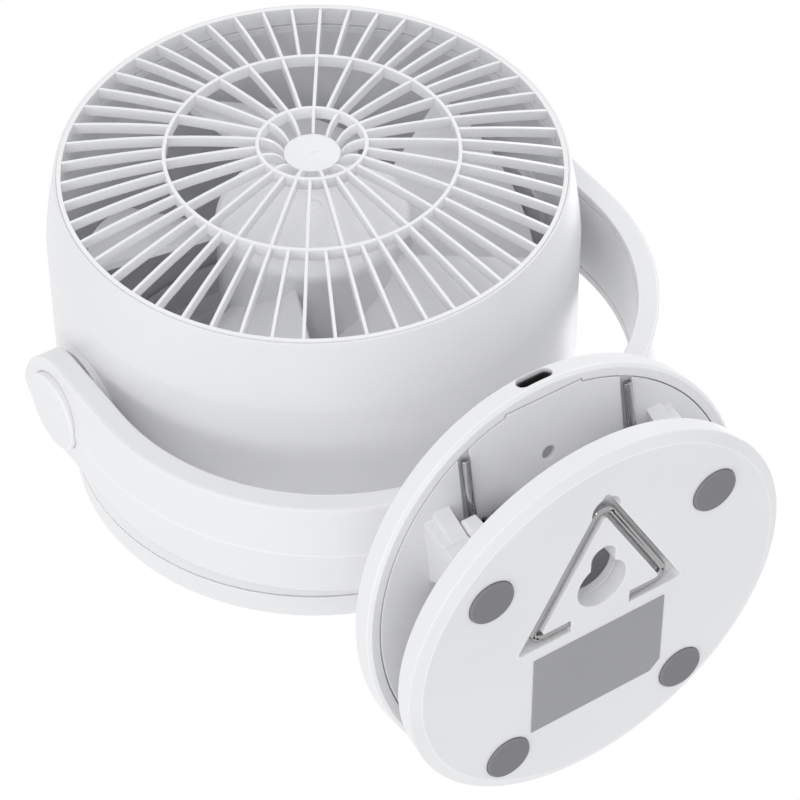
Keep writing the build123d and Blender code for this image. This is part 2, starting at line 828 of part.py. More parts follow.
def spring_path():
    """Lower leg, helix and upper leg as straight runs and tangent arcs."""
    swing = spring_last_angle - spring_first_angle
    climb = (spring_outer_x - spring_inner_x) / swing
    steps = math.ceil(spring_turns * spring_arcs_per_turn)

    def place(angle):
        x = spring_inner_x + climb * (angle - spring_first_angle)
        y = hinge_y + spring_coil_radius * math.cos(angle)
        return Vector(x, y, hinge_z + spring_coil_radius * math.sin(angle))

    def way(angle, rise):
        turn = Vector(0, -math.sin(angle), math.cos(angle)) * spring_coil_radius
        return (turn + Vector(rise, 0, 0)).normalized()

    angles = [spring_first_angle + swing * step / steps for step in range(steps + 1)]
    rises = [0] + [climb] * (steps - 1) + [0]
    places = [place(angle) for angle in angles]
    ways = [way(angle, rise) for angle, rise in zip(angles, rises)]
    edges = [Line(places[0] - ways[0] * spring_lower_leg, places[0])]
    for step in range(steps):
        edges += biarc(places[step], ways[step], places[step + 1], ways[step + 1])
    edges.append(Line(places[-1], places[-1] + ways[-1] * spring_upper_leg))
    return Wire(edges)


def torsion_spring():
    path = spring_path()
    spring = sweep(Plane(path @ 0, z_dir=path % 0) * Circle(spring_wire_radius), path=path)
    turn_length = 2 * math.pi * spring_coil_radius
    samples = math.ceil(path.length)
    points = [path @ (step / samples) for step in range(samples + 1)]
    apart = math.ceil(turn_length / 2)
    pairs = [(a, b) for a in range(samples + 1) for b in range(a + apart, samples + 1)]
    least = min((points[a] - points[b]).length for a, b in pairs) - 2 * spring_wire_radius
    share = spring.volume / (math.pi * spring_wire_radius**2 * path.length)
    print(f"torsion spring: least gap {least:.2f} mm, volume {share:.4f} of section x length")
    return spring


# Yoke


def yoke_outline(inset, top):
    """The filled U of the yoke, drawn in by an inset, about the pivot line."""
    half = yoke_half_span - inset
    depth = yoke_depth - inset
    bend = yoke_bend - inset
    corner = math.sqrt(0.5) * bend
    bend_x = half - bend
    bend_y = bend - depth
    edges = [
        Polyline((-half, bend_y), (-half, top), (half, top), (half, bend_y)),
        ThreePointArc((half, bend_y), (bend_x + corner, bend_y - corner), (bend_x, -depth)),
        Line((bend_x, -depth), (-bend_x, -depth)),
        ThreePointArc((-bend_x, -depth), (-bend_x - corner, bend_y - corner), (-half, bend_y)),
    ]
    return Plane.XZ * make_face(edges)


def yoke_slab(inset, half_width):
    slab = extrude(yoke_outline(inset, yoke_width), amount=half_width, both=True)
    ends = rod(half_width, -yoke_half_span - overrun, yoke_half_span + overrun)
    reach = yoke_half_span + overrun
    ends += block(-reach, reach, -half_width, half_width, -yoke_depth - overrun, 0)
    return slab & ends


def yoke_void(half_width):
    return extrude(yoke_outline(yoke_thickness, yoke_width), amount=half_width, both=True)


def yoke_neck():
    """The oval foot of the yoke, square to the upper disc."""
    outline = Pos(0, neck_y) * Ellipse(neck_half_x, neck_half_y)
    return upper_frame * plate(outline, upper_height, upper_height + neck_height)


def yoke_arm():
    place = Pos(0, pivot_y, pivot_z)
    half_width = yoke_width / 2
    front = extrude(yoke_outline(0, yoke_width), amount=half_width, taper=yoke_taper)
    body = front + mirror(front, about=Plane.XZ)
    body &= yoke_slab(0, half_width)
    body -= yoke_void(half_width + overrun)
    recess = yoke_slab(yoke_thickness - yoke_cover_thickness - seat_gap, half_width - yoke_rim)
    body -= recess
    bore_start = arm_inner_x - overrun
    reach = yoke_half_span + overrun
    head_seat = cap_seat_x - pivot_bolt_head_height - seat_gap
    bores = rod(pivot_bolt_radius + press_gap, bore_start, reach)
    bores += rod(pivot_bolt_head_radius + seat_gap, head_seat, reach)
    bores += rod(pivot_cap_radius + seat_gap, cap_seat_x, reach)
    body -= [bores, other_side(bores)]
    body = place * body + yoke_neck()
    hole_low = upper_height - overrun
    hole_top = upper_height + neck_screw_reach
    for x in (-neck_screw_x, neck_screw_x):
        body -= upper_frame * post(neck_screw_radius + press_gap, hole_low, hole_top, x, neck_y)
    return body


def yoke_cover():
    half_width = yoke_width / 2 - yoke_rim - yoke_cover_gap
    cover = yoke_slab(yoke_thickness - yoke_cover_thickness, half_width)
    cover -= yoke_void(half_width + overrun)
    bore = rod(pivot_bolt_radius + seat_gap, arm_inner_x - overrun, yoke_half_span)
    cover -= [bore, other_side(bore)]
    return Pos(0, pivot_y, pivot_z) * cover


def neck_screws():
    length = upper_top_wall + neck_screw_reach - seat_gap
    one = screw(neck_screw_radius, length, neck_screw_head_radius, neck_screw_head_height)
    places = [(-neck_screw_x, neck_y), (neck_screw_x, neck_y)]
    return [Pos(x, y, upper_inside) * one for x, y in places]


def pivot_bolt():
    head_seat = cap_seat_x - pivot_bolt_head_height - seat_gap
    tail = nut_outer_x - pivot_nut_height - pivot_bolt_tail
    bolt = rod(pivot_bolt_radius, tail, head_seat, pivot_y, pivot_z)
    return bolt + rod(pivot_bolt_head_radius, head_seat, cap_seat_x - seat_gap, pivot_y, pivot_z)


def pivot_nut():
    hexagon = Plane.YZ * RegularPolygon(pivot_nut_radius, 6)
    nut = Pos(nut_outer_x - pivot_nut_height, pivot_y, pivot_z) * extrude(hexagon, amount=pivot_nut_height)
    return nut - rod(pivot_bolt_radius + press_gap, 0, nut_outer_x + overrun, pivot_y, pivot_z)


def pivot_washer():
    washer = rod(pivot_washer_radius, washer_inner_x, arm_inner_x, pivot_y, pivot_z)
    return washer - rod(pivot_bolt_radius + seat_gap, 0, yoke_half_span, pivot_y, pivot_z)


def pivot_cap():
    cap = rod(pivot_cap_radius, cap_seat_x, cap_seat_x + pivot_cap_thickness, pivot_y, pivot_z)
    return fillet(cap.edges().sort_by(Axis.X)[-1], pivot_cap_edge)


# Drum, in its own frame with Z along the air flow and zero at the rim plane


def section_point(radius, depth):
    return (radius, 0, -depth)


def drum_inside():
    """The inner face of the drum, from the grille's seat to the back."""
    widest = drum_radius - drum_wall
    seat_inner = grille_rim_inner
    seat_back = grille_seat_depth + grille_seat_thickness
    taper = section_point(widest, drum_taper)
    back = section_point(drum_back_radius - drum_wall, drum_depth)
    steps = Polyline(
        section_point(rim_radius, -rim_rise),
        section_point(rim_radius, grille_seat_depth),
        section_point(seat_inner, grille_seat_depth),
        section_point(seat_inner, seat_back),
        section_point(widest, drum_widest),
        taper,
    )
    return [steps, TangentArc(taper, back, tangent=(0, 0, -1))]


def drum_housing():
    lip = section_point(rim_radius + rim_lip, -rim_rise)
    crease = math.radians(drum_crease)
    rim_way = (-math.sin(crease), 0, math.cos(crease))
    widest = section_point(drum_radius, drum_widest)
    taper = section_point(drum_radius, drum_taper)
    back = section_point(drum_back_radius, drum_depth)
    outside = [
        TangentArc(widest, lip, tangent=rim_way),
        Line(widest, taper),
        TangentArc(taper, back, tangent=(0, 0, -1)),
    ]
    closing = [
        Line(section_point(rim_radius, -rim_rise), lip),
        Line(section_point(drum_back_radius - drum_wall, drum_depth), back),
    ]
    drum = lathe_edges(drum_inside() + outside + closing)
    boss = rod(pivot_boss_radius, pivot_boss_inner_x, boss_outer_x, 0, -pivot_setback)
    drum += [boss, other_side(boss)]
    for turn in cover_screw_turns():
        drum += turn * drum_post()
    hole = rod(pivot_bolt_radius + pin_gap, 0, yoke_half_span, 0, -pivot_setback)
    drum -= [hole, other_side(hole)]
    hole_low = -drum_depth - overrun
    hole_high = cover_screw_grip + overrun - drum_depth
    for turn in cover_screw_turns():
        drum -= turn * post(cover_screw_radius + press_gap, hole_low, hole_high, cover_screw_circle)
    return drum


def cover_screw_turns():
    return around(cover_screw_count, cover_screw_first_angle)


def drum_post():
    """A screw post, with a web that joins it to the drum's wall."""
    low = -drum_depth
    high = cover_post_length - drum_depth
    half = cover_post_web / 2
    wall = drum_back_radius - drum_wall / 2
    web = block(cover_screw_circle, wall, -half, half, low, high)
    return web + post(cover_post_radius, low, high, cover_screw_circle)


def dome_height(radius):
    return dome_rise - dome_radius + math.sqrt(dome_radius**2 - radius**2)


def dome_rib(inner, outer):
    """A thin upright rib whose front edge follows the grille's dome."""
    middle = (inner + outer) / 2
    front = [(radius, 0, dome_height(radius)) for radius in (inner, middle, outer)]
    back = [(radius, 0, dome_height(radius) - rib_depth) for radius in (inner, middle, outer)]
    edges = [ThreePointArc(*front), Line(front[2], back[2]), ThreePointArc(*back), Line(back[0], front[0])]
    return extrude(make_face(edges), amount=rib_thickness / 2, both=True)


def hub_rib():
    """A rib that arches from the hub ring down to the sunken cap."""
    inner = grille_cap_radius - rib_bite
    outer = grille_hub_radius - grille_ring_width + rib_bite
    high = dome_height(outer)
    low = grille_cap_height - grille_cap_bulge - hub_rib_drop
    chord = math.hypot(outer - inner, high - low)
    middle_radius = (inner + outer) / 2 - hub_rib_bulge * (high - low) / chord
    middle_height = (high + low) / 2 + hub_rib_bulge * (outer - inner) / chord
    top = [(inner, 0, low), (middle_radius, 0, middle_height), (outer, 0, high)]
    back = [(radius, 0, height - rib_depth) for radius, _, height in top]
    edges = [ThreePointArc(*top), Line(top[2], back[2]), ThreePointArc(*back), Line(back[0], top[0])]
    return extrude(make_face(edges), amount=rib_thickness / 2, both=True)


def grille_ring(outer):
    inner = outer - grille_ring_width
    low = dome_height(outer) - rib_depth - grille_ring_stand
    high = dome_height(inner) + grille_ring_stand
    return lathe([(inner, low), (outer, low), (outer, high), (inner, high)])


def front_grille():
    rim_outer = grille_rim_outer
    rim_inner = grille_rim_inner
    low = -grille_seat_depth
    high = dome_edge_rise + grille_ring_stand
    step = low + grille_seam_height
    step_radius = rim_inner + grille_seam_depth
    seam = [(rim_inner, step), (step_radius, step), (step_radius, low)]
    grille = lathe([*seam, (rim_outer, low), (rim_outer, high), (rim_inner, high)])
    cap_low = grille_cap_height - grille_cap_thickness
    cap_edge = grille_cap_height - grille_cap_bulge
    cap = [
        Polyline((0, 0, grille_cap_height), (0, 0, cap_low), (grille_cap_radius, 0, cap_low)),
        Line((grille_cap_radius, 0, cap_low), (grille_cap_radius, 0, cap_edge)),
        TangentArc((0, 0, grille_cap_height), (grille_cap_radius, 0, cap_edge), tangent=(1, 0, 0)),
    ]
    pieces = [lathe_edges(cap), grille_ring(grille_hub_radius), grille_ring(grille_middle_radius)]
    pieces += [turn * hub_rib() for turn in around(hub_rib_count)]
    inner_start = grille_hub_radius - rib_bite
    inner_end = grille_middle_radius - grille_ring_width + rib_bite
    pieces += [turn * dome_rib(inner_start, inner_end) for turn in around(inner_rib_count)]
    outer_start = grille_middle_radius - rib_bite
    pieces += [turn * dome_rib(outer_start, rim_inner + rib_bite) for turn in around(outer_rib_count)]
    return grille.fuse(*pieces)


def rear_cover():
    cover_front = drum_depth + cover_seam
    straight = cover_back - cover_bend
    flat_radius = drum_back_radius - cover_bend
    spigot_outer = drum_back_radius - drum_wall - seat_gap
    spigot_inner = spigot_outer - cover_spigot_wall
    spigot_front = drum_depth - cover_spigot_depth
    inside_back = cover_back - cover_wall
    bend_start = section_point(drum_back_radius, straight)
    bend_end = section_point(flat_radius, cover_back)
    inner_bend = section_point(flat_radius - cover_wall, inside_back)
    outline = [
        TangentArc(bend_start, bend_end, tangent=(0, 0, -1)),
        Polyline(bend_end, section_point(0, cover_back), section_point(0, inside_back), inner_bend),
        Polyline(
            inner_bend,
            section_point(spigot_inner, straight),
            section_point(spigot_inner, spigot_front),
            section_point(spigot_outer, spigot_front),
            section_point(spigot_outer, cover_front),
            section_point(drum_back_radius, cover_front),
            bend_start,
        ),
    ]
    cover = lathe_edges(outline)
    vent_middle = (vent_inner_radius + vent_outer_radius) / 2
    vent = Pos(vent_middle, 0) * SlotOverall(vent_outer_radius - vent_inner_radius, vent_width)
    past_back = -cover_back - overrun
    vent = plate(vent, past_back, overrun - inside_back)
    cover -= [turn * vent for turn in around(vent_count)]
    for turn in cover_screw_turns():
        cover += turn * post(cover_post_radius, -inside_back, -drum_depth, cover_screw_circle)
    head_seat = cover_screw_head_height - cover_back
    notch_half = cover_post_web / 2 + seat_gap
    for turn in cover_screw_turns():
        head = post(cover_screw_head_radius + seat_gap, past_back, head_seat, cover_screw_circle)
        shank = post(cover_screw_radius + seat_gap, past_back, 0, cover_screw_circle)
        notch = block(cover_screw_circle, drum_radius, -notch_half, notch_half, -drum_depth, 0)
        cover -= [turn * head, turn * shank, turn * notch]
    screw_low = -inside_back - stand_screw_bite()
    for turn in around(stand_screw_count):
        cover -= turn * post(stand_screw_radius + press_gap, screw_low, 0, stand_screw_circle)
    return cover


def inner_rear_wall():
    return cover_wall - cover_back


def stand_screw_bite():
    return cover_wall / 2


def cover_screws():
    length = cover_depth - cover_screw_head_height + cover_screw_grip
    one = screw(cover_screw_radius, length, cover_screw_head_radius, cover_screw_head_height)
    seat = cover_screw_head_height - cover_back
    turns = cover_screw_turns()
    return [turn * Pos(cover_screw_circle, 0, seat) * one for turn in turns]


def motor_stand():
    low = inner_rear_wall()
    high = -motor_back
    stand = post(stand_flange_radius, low, low + stand_flange_thickness)
    stand += post(stand_radius, low, high)
    stand -= post(stand_radius - stand_wall, low - overrun, high - stand_flange_thickness)
    stand -= post(bearing_radius + seat_gap, low, high + overrun)
    hole_high = high - stand_flange_thickness
    for turn in around(stand_screw_count):
        stand -= turn * post(stand_screw_radius + seat_gap, low - overrun, hole_high, stand_screw_circle)
    for turn in around(motor_screw_count):
        stand -= turn * post(stand_screw_radius + seat_gap, low, high + overrun, motor_screw_circle)
    return stand


def stand_screws():
    seat = inner_rear_wall() + stand_flange_thickness
    length = stand_flange_thickness + stand_screw_bite() - seat_gap
    one = upside_down(screw(stand_screw_radius, length, stand_screw_head_radius, stand_screw_head_height))
    turns = around(stand_screw_count)
    return [turn * Pos(stand_screw_circle, 0, seat) * one for turn in turns]


def motor_screws():
    seat = -motor_back - stand_flange_thickness
    length = stand_flange_thickness + motor_screw_grip - seat_gap
    one = screw(stand_screw_radius, length, stand_screw_head_radius, stand_screw_head_height)
    turns = around(motor_screw_count)
    return [turn * Pos(motor_screw_circle, 0, seat) * one for turn in turns]


def motor_can():
    can = post(motor_radius, -motor_back, -motor_front)
    can -= post(motor_radius - motor_wall, motor_end_wall - motor_back, -motor_front - motor_end_wall)
    collar = bearing_radius + motor_end_wall
    can += post(collar, -motor_front - bearing_length, -motor_front)
    can += post(collar, -motor_back, bearing_length - motor_back)
    can -= post(bearing_radius + press_gap, -motor_back - overrun, overrun - motor_front)
    hole_low = -motor_back - overrun
    hole_high = motor_screw_grip - motor_back
    for turn in around(motor_screw_count):
        can -= turn * post(stand_screw_radius + press_gap, hole_low, hole_high, motor_screw_circle)
    return can


def motor_middle():
    return -(motor_front + motor_back) / 2


def motor_magnets():
    outer = motor_radius - motor_wall - seat_gap
    low = motor_middle() - magnet_length / 2
    ring = post(outer, low, low + magnet_length)
    return ring - post(outer - magnet_thickness, low - overrun, low + magnet_length + overrun)


def motor_bearings():
    one = post(bearing_radius, 0, bearing_length)
    one -= post(shaft_radius + pin_gap, -overrun, bearing_length + overrun)
    return [Pos(0, 0, low) * one for low in (-motor_front - bearing_length, -motor_back)]


def motor_shaft():
    return post(shaft_radius, -motor_back, -shaft_front_reach)


def rotor_core():
    low = motor_middle() - rotor_length / 2
    core = post(rotor_radius, low, low + rotor_length)
    return core - post(shaft_radius + press_gap, low - overrun, low + rotor_length + overrun)


# Impeller


def impeller_hub():
    crown_depth = hub_front + hub_crown
    side_depth = crown_depth + hub_round_depth
    back = hub_front + hub_length
    inner = hub_radius - hub_wall
    crown_edge = section_point(hub_radius - hub_round, crown_depth)
    side = section_point(hub_radius, side_depth)
    tip = section_point(0, hub_front)
    outline = [
        TangentArc(tip, crown_edge, tangent=(1, 0, 0)),
        TangentArc(side, crown_edge, tangent=(0, 0, 1)),
        Polyline(
            side,
            section_point(hub_radius, back),
            section_point(inner, back),
            section_point(inner, side_depth),
            section_point(hub_radius - hub_round, crown_depth + hub_wall),
            section_point(0, crown_depth + hub_wall),
            tip,
        ),
    ]
    hub = lathe_edges(outline)
    hub += post(hub_boss_radius, run_gap + seat_gap - motor_front, -crown_depth - hub_wall / 2)
    hub -= post(hub_mark_radius, -hub_front - hub_mark_depth, overrun - hub_front)
    return hub - post(shaft_radius + press_gap, -motor_front - overrun, seat_gap - shaft_front_reach)


def blade():
    """A broad flat-sided blade, twisted from root to tip and trimmed round."""
    root = hub_radius - blade_root_bite
    tip = blade_tip_radius + overrun
    root_face = Plane.YZ * Rectangle(blade_root_chord, blade_thickness)
    tip_face = Plane.YZ * Rectangle(blade_tip_chord, blade_thickness)
    sections = [
        Pos(root, 0, 0) * Rot(blade_root_pitch, 0, 0) * root_face,
        Rot(0, 0, blade_sweep) * Pos(tip, 0, 0) * Rot(blade_tip_pitch, 0, 0) * tip_face,
    ]
    reach = blade_tip_radius
    body = loft(sections, ruled=True) & post(blade_tip_radius, -reach, reach)
    return Pos(0, 0, -blade_middle) * (body - post(hub_radius - hub_wall / 2, -reach, reach))


def impeller():
    return impeller_hub().fuse(*[turn * blade() for turn in around(blade_count, impeller_turn)])


# All pieces, by name


def placed(frame, piece):
    """A piece, or each of a list of equal pieces, moved into a frame."""
    if isinstance(piece, list):
        return [frame * one for one in piece]
    return frame * piece


def in_upper(piece):
    return placed(upper_frame, piece)


def in_head(piece):
    return placed(head_frame, piece)


def both_sides(name, shape):
    return {f"{name}_right": shape, f"{name}_left": other_side(shape)}


def all_pieces():
    pieces = {
        "base_shell": base_shell(),
        "base_cover": base_cover(),
        "base_screws": base_screws(),
        "rubber_feet": rubber_feet(),
        "label_plate": label_plate(),
        "lower_jaw_pad": jaw_pad(base_top - pad_recess, base_top + lower_pad_stand),
        "hook_wire": hook_wire(),
        "upper_shell": in_upper(upper_shell()),
        "clip_panel": in_upper(clip_panel()),
        "panel_screws": in_upper(panel_screws()),
        "upper_jaw_pad": in_upper(jaw_pad(-upper_pad_stand, pad_recess)),
        "usb_socket": in_upper(usb_socket()),
        "circuit_board": in_upper(circuit_board()),
        "button_switch": in_upper(button_switch()),
        "speed_button": in_upper(speed_button()),
        "battery_pack": in_upper(battery_pack()),
        "yoke_arm": yoke_arm(),
        "yoke_cover": yoke_cover(),
        "neck_screws": in_upper(neck_screws()),
        "drum_housing": in_head(drum_housing()),
        "front_grille": in_head(front_grille()),
        "rear_cover": in_head(rear_cover()),
        "cover_screws": in_head(cover_screws()),
        "motor_stand": in_head(motor_stand()),
        "stand_screws": in_head(stand_screws()),
        "motor_screws": in_head(motor_screws()),
        "motor_can": in_head(motor_can()),
        "motor_magnets": in_head(motor_magnets()),
        "motor_bearings": in_head(motor_bearings()),
        "motor_shaft": in_head(motor_shaft()),
        "rotor_core": in_head(rotor_core()),
        "impeller": in_head(impeller()),
    }
    pieces.update(both_sides("hinge_pin", hinge_pin()))
    pieces.update(both_sides("torsion_spring", torsion_spring()))
    pieces.update(both_sides("pivot_bolt", pivot_bolt()))
    pieces.update(both_sides("pivot_nut", pivot_nut()))
    pieces.update(both_sides("pivot_washer", pivot_washer()))
    pieces.update(both_sides("pivot_cap", pivot_cap()))
    return pieces


# The frame of the whole fan, with zero on the table under the middle of its box
grille_front = dome_height(grille_hub_radius - grille_ring_width) + grille_ring_stand
front_reach = pivot_setback - pivot_y + grille_front
row_frame = Pos(0, (front_reach - base_radius) / 2, 0)

os.makedirs("parts", exist_ok=True)
for name, piece in all_pieces().items():
    piece = placed(row_frame, piece)
    shape = Compound(children=piece) if isinstance(piece, list) else piece
    export_step(shape, f"parts/{name}.step")
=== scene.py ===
# %% [markdown]
# # A clip-on fan
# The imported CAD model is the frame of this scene: a drum with a domed grille, a U-shaped yoke and two hinged
# discs. It could all be modelled again in Blender, but then it would drift from the solids. So the CAD nodes stay
# where they are and get finishes, and only the springs, some screws and a small plug are made anew.

# %% Load the frame
import json
import math

import bmesh
import bpy
from mathutils import Matrix, Vector


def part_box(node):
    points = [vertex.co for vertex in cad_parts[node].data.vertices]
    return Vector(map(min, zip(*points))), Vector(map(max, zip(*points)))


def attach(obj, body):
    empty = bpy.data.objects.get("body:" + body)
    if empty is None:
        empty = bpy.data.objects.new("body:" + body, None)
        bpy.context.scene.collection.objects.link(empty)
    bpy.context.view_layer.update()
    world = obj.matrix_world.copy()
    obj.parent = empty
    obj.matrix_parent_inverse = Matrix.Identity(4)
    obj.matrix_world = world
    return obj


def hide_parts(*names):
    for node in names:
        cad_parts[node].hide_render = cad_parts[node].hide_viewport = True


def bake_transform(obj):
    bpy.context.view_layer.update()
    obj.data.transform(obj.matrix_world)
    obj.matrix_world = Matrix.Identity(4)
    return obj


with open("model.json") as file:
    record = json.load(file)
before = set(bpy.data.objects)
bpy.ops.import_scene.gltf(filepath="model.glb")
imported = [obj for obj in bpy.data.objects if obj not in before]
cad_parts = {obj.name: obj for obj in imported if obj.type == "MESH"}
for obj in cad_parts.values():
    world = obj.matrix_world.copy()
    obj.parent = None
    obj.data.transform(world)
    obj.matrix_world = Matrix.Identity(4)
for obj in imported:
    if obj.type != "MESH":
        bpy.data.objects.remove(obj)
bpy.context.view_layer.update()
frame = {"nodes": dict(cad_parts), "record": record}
nodes = frame["nodes"]
scene = bpy.context.scene
scene.view_settings.view_transform = "Standard"

# %% [markdown]
# ## The camera
# The photograph was taken from below and in front, with a long lens. The place, the line of sight and the way up
# were found by fitting a camera to the rim, the rings, the feet and the pivots. A look-at constraint would lose the
# roll, so the three directions are written into the camera's matrix.

# %% Place the camera
frame_pixels = 800
focal_pixels = 3437.7
camera_place = Vector((-0.3367, -0.60049, -0.4198))
camera_sight = Vector((0.39408, 0.70384, 0.59102)).normalized()
rough_up = Vector((0.39132, -0.71036, 0.58504))

camera_right = camera_sight.cross(rough_up).normalized()
camera_up = camera_right.cross(camera_sight)
camera_data = bpy.data.cameras.new("photo_camera")
camera_data.sensor_width = 36.0
camera_data.lens = camera_data.sensor_width * focal_pixels / frame_pixels
camera_data.clip_start = 0.01
camera = bpy.data.objects.new("photo_camera", camera_data)
camera_turn = Matrix((camera_right, camera_up, -camera_sight)).transposed()
camera.matrix_world = Matrix.Translation(camera_place) @ camera_turn.to_4x4()
scene.collection.objects.link(camera)
scene.camera = camera
print("lens", round(camera_data.lens, 1), "mm")


# %% [markdown]
# ## Small helpers for node trees
# Every finish below is a node tree. A few helpers keep the cells short: they add a node and set its sockets by
# name, join two sockets, make a ramp of two tints, take the largest of several masks, and let a mask choose
# between two shaders. Writing every node out would hide what differs from one finish to the next.


# %% Node helpers
def add_node(tree, kind, **sockets):
    node = tree.nodes.new(kind)
    for name, value in sockets.items():
        node.inputs[name.replace("_", " ")].default_value = value
    return node


def join(tree, source, output, target, socket):
    tree.links.new(source.outputs[output], target.inputs[socket])


def two_tints(tree, dark, light, low=0.0, high=1.0):
    """A ramp from a dark tint at low to a light one at high."""
    ramp = add_node(tree, "ShaderNodeValToRGB")
    for stop, position, colour in zip(ramp.color_ramp.elements, (low, high), (dark, light)):
        stop.position = position
        stop.color = (*colour, 1)
    return ramp


def any_of(tree, first, *others):
    """A mask that is 1 where any of the given masks is."""
    largest = first
    for mask in others:
        larger = add_node(tree, "ShaderNodeMath")
        larger.operation = "MAXIMUM"
        tree.links.new(largest, larger.inputs[0])
        tree.links.new(mask, larger.inputs[1])
        largest = larger.outputs[0]
    return largest


def mix_into(tree, output_kind, mask, black_shader, white_shader):
    """Send one of two shaders to the output, by a mask."""
    choose = add_node(tree, "ShaderNodeMixShader")
    tree.links.new(mask, choose.inputs[0])
    tree.links.new(black_shader.outputs[0], choose.inputs[1])
    tree.links.new(white_shader.outputs[0], choose.inputs[2])
    join(tree, choose, 0, add_node(tree, output_kind), "Surface")


# %% [markdown]
# ## World
# The background of the photograph is pure white. A world as bright as that would light the fan too much. So it is
# white only where the camera, a reflection or a clear piece shows it, and a little dimmer as light on the fan.

# %% Light the world
ambient_light = 0.82
world = bpy.data.worlds.new("studio")
scene.world = world
world.use_nodes = True
tree = world.node_tree
tree.nodes.clear()
path = add_node(tree, "ShaderNodeLightPath").outputs
seen = any_of(tree, path["Is Camera Ray"], path["Is Glossy Ray"], path["Is Transmission Ray"])
ambient = add_node(tree, "ShaderNodeBackground", Color=(0.97, 0.98, 1.0, 1), Strength=ambient_light)
backdrop = add_node(tree, "ShaderNodeBackground", Color=(1, 1, 1, 1), Strength=1.0)
mix_into(tree, "ShaderNodeOutputWorld", seen, ambient, backdrop)
print("world", ambient_light, "on the fan and 1.0 to the camera")

# %% [markdown]
# ## Floor
# The floor is a pale sheet. The photograph's camera looks up through it, so it is clear from its underside. It also
# lets lamp light, soft light and reflections through, because otherwise the bottom disc, a hair above it, would be
# black. Hiding the floor would be simpler, but then views from above would lose it.


# %% Lay the floor
def stage_sheet(name, half_x, half_y, place, finish):
    """A flat sheet of the studio, which isn't part of the fan."""
    sheet = bmesh.new()
    bmesh.ops.create_grid(sheet, x_segments=1, y_segments=1, size=1.0)
    bmesh.ops.scale(sheet, verts=sheet.verts, vec=(half_x, half_y, 1))
    bmesh.ops.transform(sheet, verts=sheet.verts, matrix=place)
    mesh = bpy.data.meshes.new(name)
    sheet.to_mesh(mesh)
    sheet.free()
    mesh.materials.append(finish)
    flat = bpy.data.objects.new(name, mesh)
    scene.collection.objects.link(flat)
    print(name, 2 * half_x, "by", 2 * half_y, "m")
    return flat


floor_half = 4.0
floor_drop = 0.0002
floor_finish = bpy.data.materials.new("floor_paper")
floor_finish.use_nodes = True
tree = floor_finish.node_tree
tree.nodes.clear()
paper = add_node(tree, "ShaderNodeBsdfDiffuse", Color=(0.86, 0.86, 0.86, 1))
clear = add_node(tree, "ShaderNodeBsdfTransparent")
underside = add_node(tree, "ShaderNodeNewGeometry").outputs["Backfacing"]
path = add_node(tree, "ShaderNodeLightPath").outputs
passing = any_of(tree, underside, path["Is Diffuse Ray"], path["Is Shadow Ray"], path["Is Glossy Ray"])
mix_into(tree, "ShaderNodeOutputMaterial", passing, paper, clear)
stage_sheet("floor", floor_half, floor_half, Matrix.Translation((0, 0, -floor_drop)), floor_finish)

# %% [markdown]
# ## Dark card
# Bright wire looks flat when all that it mirrors is white. Photographers set a black card beside chrome, and its
# mirror image draws a dark streak along the wire. This card stands below the floor and only reflections see it.

# %% Set up the card
card_place = Vector((0.24, 0.42, -0.36))
card_half_x, card_half_y = 0.45, 0.05
card_turn = (-card_place).to_track_quat("Z", "Y").to_matrix().to_4x4()
card_finish = bpy.data.materials.new("black_paper")
card_finish.use_nodes = True
tree = card_finish.node_tree
card_shader = tree.nodes["Principled BSDF"]
card_shader.inputs["Roughness"].default_value = 1.0
fibre = add_node(tree, "ShaderNodeTexNoise", Scale=400.0)
fibre_tint = two_tints(tree, (0.01, 0.01, 0.01), (0.03, 0.03, 0.03))
join(tree, fibre, 0, fibre_tint, "Fac")
join(tree, fibre_tint, "Color", card_shader, "Base Color")
card = stage_sheet("dark_card", card_half_x, card_half_y, Matrix.Translation(card_place) @ card_turn, card_finish)
for ray in ("camera", "diffuse", "transmission", "shadow", "volume_scatter"):
    setattr(card, "visible_" + ray, False)


# %% [markdown]
# ## Lamps
# Most of the light is the even world. Four soft discs give it direction: one from the front and right, one from the
# left, a small one beside the camera, and a weak one from behind. Stronger lamps would make the white plastic clip,
# so the watts stay low.


# %% Hang the lamps
def soft_lamp(name, place, width, watts):
    data = bpy.data.lights.new(name, "AREA")
    data.shape = "DISK"
    data.size = width
    data.energy = watts
    lamp = bpy.data.objects.new(name, data)
    turn = (fan_middle - Vector(place)).to_track_quat("-Z", "Y")
    lamp.matrix_world = Matrix.Translation(place) @ turn.to_matrix().to_4x4()
    scene.collection.objects.link(lamp)
    print(name, watts, "W")


fan_middle = Vector((0, 0, 0.1))
soft_lamp("front_key", (0.95, -0.75, 0.6), width=0.4, watts=2.4)
soft_lamp("side_fill", (-1.1, -0.2, -0.4), width=0.5, watts=1.8)
soft_lamp("low_front", (-0.44, -0.66, -0.34), width=0.1, watts=0.6)
soft_lamp("back_rim", (0.9, 0.7, 0.5), width=0.5, watts=0.5)

# %% [markdown]
# ## Moulded plastic
# Nearly all of the fan is white plastic from a polished mould with a very fine spark texture. A flat white would
# look like paint in a drawing program. The group below gives what changes over the surface: a faint tone, the
# roughness and the height of the texture.

